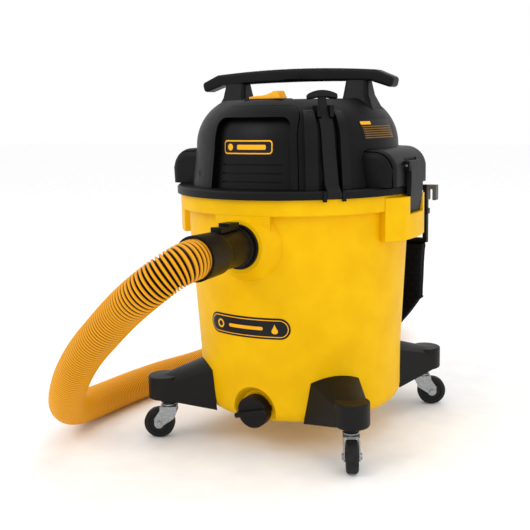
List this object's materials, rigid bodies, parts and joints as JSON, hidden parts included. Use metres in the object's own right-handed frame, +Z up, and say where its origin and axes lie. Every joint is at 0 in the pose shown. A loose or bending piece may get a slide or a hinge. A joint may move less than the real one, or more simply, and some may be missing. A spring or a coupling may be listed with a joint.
{
  "type": "shop vacuum",
  "caption": "Wheeled wet and dry shop vacuum: moulded drum on swivel casters, latched lift-off motor head with carrying handle, ribbed hose, drain cap and rear accessory bag.",
  "frame": {"origin": "on the floor, under the middle of the machine's box without its hose", "axes": "+Z up, -Y out of the hose inlet at the front, +X to the machine's left side as it is seen from behind, along the handle"},
  "size_m": [0.5807, 1.2415, 0.607],
  "materials": {
    "drum_yellow": "moulded polyethylene, satin",
    "head_black": "fine-textured moulded black",
    "hook_grey": "moulded dark grey",
    "inner_plastic": "moulded, as made",
    "switch_yellow": "smooth moulded",
    "hose_yellow": "soft ribbed plastic",
    "rubber_black": "matte",
    "bag_fabric": "woven",
    "wheel_grey": "smooth hard rubber",
    "caster_steel": "zinc plated",
    "fastener_steel": "zinc plated",
    "motor_steel": "laminated",
    "filter_paper": "pleated paper",
    "float_white": "blow moulded"
  },
  "bodies": {
    "drum": {"drum": "drum_yellow", "inlet_port": "head_black", "inlet_deflector": "head_black", "drain_spout": "head_black", "foot_front_right": "head_black", "foot_front_left": "head_black", "foot_rear_left": "head_black", "foot_rear_right": "head_black", "foot_screws": "fastener_steel", "caster_stems": "caster_steel", "bag_hanger": "head_black", "hanger_hooks": "hook_grey", "accessory_bag": "bag_fabric", "hose": "hose_yellow", "hose_collar": "head_black", "hose_end_cuff": "head_black"},
    "drain_cap": {"drain_cap": "head_black", "drain_gasket": "rubber_black"},
    "hose_lock": {"hose_lock": "head_black"},
    "head": {"head_base": "head_black", "head_housing": "head_black", "front_panel": "head_black", "handle": "head_black", "switch_bezel": "head_black", "switch_module": "inner_plastic", "strap_pin": "fastener_steel", "strap_keeper": "head_black", "latch_pins": "fastener_steel", "head_gasket": "rubber_black", "housing_screws": "fastener_steel", "handle_screws": "fastener_steel", "blower_port": "head_black", "cord_inlet": "head_black", "fan_housing": "inner_plastic", "motor_housing": "inner_plastic", "stator": "motor_steel", "motor_bearings": "fastener_steel", "filter_cage": "inner_plastic", "cartridge_filter": "filter_paper", "filter_retainer": "inner_plastic"},
    "latch_right": {"latch_right": "head_black"},
    "latch_left": {"latch_left": "head_black"},
    "power_switch": {"power_switch": "switch_yellow"},
    "hose_strap": {"hose_strap": "rubber_black"},
    "float_ball": {"float_ball": "float_white"},
    "rotor": {"armature": "motor_steel", "impeller": "inner_plastic"},
    "caster_front_right": {"caster_fork_front_right": "caster_steel", "wheel_axle_front_right": "caster_steel"},
    "wheel_front_right": {"wheel_front_right": "wheel_grey"},
    "caster_front_left": {"caster_fork_front_left": "caster_steel", "wheel_axle_front_left": "caster_steel"},
    "wheel_front_left": {"wheel_front_left": "wheel_grey"},
    "caster_rear_left": {"caster_fork_rear_left": "caster_steel", "wheel_axle_rear_left": "caster_steel"},
    "wheel_rear_left": {"wheel_rear_left": "wheel_grey"},
    "caster_rear_right": {"caster_fork_rear_right": "caster_steel", "wheel_axle_rear_right": "caster_steel"},
    "wheel_rear_right": {"wheel_rear_right": "wheel_grey"}
  },
  "joints": [
    {"name": "head_lift", "type": "slide", "parent": "drum", "child": "head", "axis": [0, 0, 1], "range_m": [0, 0.25]},
    {"name": "latch_right_hinge", "type": "hinge", "parent": "head", "child": "latch_right", "pos_m": [0.2055, -0.019, 0.452], "axis": [0, -1, 0], "range_deg": [0, 70]},
    {"name": "latch_left_hinge", "type": "hinge", "parent": "head", "child": "latch_left", "pos_m": [-0.2055, -0.019, 0.452], "axis": [0, 1, 0], "range_deg": [0, 70]},
    {"name": "switch_rock", "type": "hinge", "parent": "head", "child": "power_switch", "pos_m": [0, -0.119, 0.548], "axis": [0, 1, 0], "range_deg": [0, 10]},
    {"name": "rotor_spin", "type": "hinge", "parent": "head", "child": "rotor", "pos_m": [0, -0.019, 0.48], "axis": [0, 0, 1], "continuous": true},
    {"name": "float_rise", "type": "slide", "parent": "head", "child": "float_ball", "axis": [0, 0, 1], "range_m": [0, 0.09]},
    {"name": "drain_cap_turn", "type": "hinge", "parent": "drum", "child": "drain_cap", "pos_m": [0, -0.189, 0.068], "axis": [0, 1, 0], "continuous": true},
    {"name": "hose_lock_tilt", "type": "hinge", "parent": "drum", "child": "hose_lock", "pos_m": [0, -0.283, 0.3695], "axis": [1, 0, 0], "range_deg": [0, 8]},
    {"name": "hose_strap_hinge", "type": "hinge", "parent": "head", "child": "hose_strap", "pos_m": [0.13383, -0.16763, 0.4144], "axis": [0.7431, 0.6691, 0], "range_deg": [0, 60]},
    {"name": "caster_front_right_swivel", "type": "hinge", "parent": "drum", "child": "caster_front_right", "pos_m": [0.16667, -0.18566, 0.055], "axis": [0, 0, 1], "continuous": true},
    {"name": "wheel_front_right_spin", "type": "hinge", "parent": "caster_front_right", "child": "wheel_front_right", "pos_m": [0.17408, -0.20041, 0.0254], "axis": [0.8934, 0.4493, 0], "continuous": true},
    {"name": "caster_front_left_swivel", "type": "hinge", "parent": "drum", "child": "caster_front_left", "pos_m": [-0.16667, -0.18566, 0.055], "axis": [0, 0, 1], "continuous": true},
    {"name": "wheel_front_left_spin", "type": "hinge", "parent": "caster_front_left", "child": "wheel_front_left", "pos_m": [-0.18141, -0.19308, 0.0254], "axis": [0.4493, -0.8934, 0], "continuous": true},
    {"name": "caster_rear_left_swivel", "type": "hinge", "parent": "drum", "child": "caster_rear_left", "pos_m": [-0.16667, 0.14766, 0.055], "axis": [0, 0, 1], "continuous": true},
    {"name": "wheel_rear_left_spin", "type": "hinge", "parent": "caster_rear_left", "child": "wheel_rear_left", "pos_m": [-0.17408, 0.16241, 0.0254], "axis": [-0.8934, -0.4493, 0], "continuous": true},
    {"name": "caster_rear_right_swivel", "type": "hinge", "parent": "drum", "child": "caster_rear_right", "pos_m": [0.16667, 0.14766, 0.055], "axis": [0, 0, 1], "continuous": true},
    {"name": "wheel_rear_right_spin", "type": "hinge", "parent": "caster_rear_right", "child": "wheel_rear_right", "pos_m": [0.18141, 0.15508, 0.0254], "axis": [-0.4493, 0.8934, 0], "continuous": true}
  ]
}
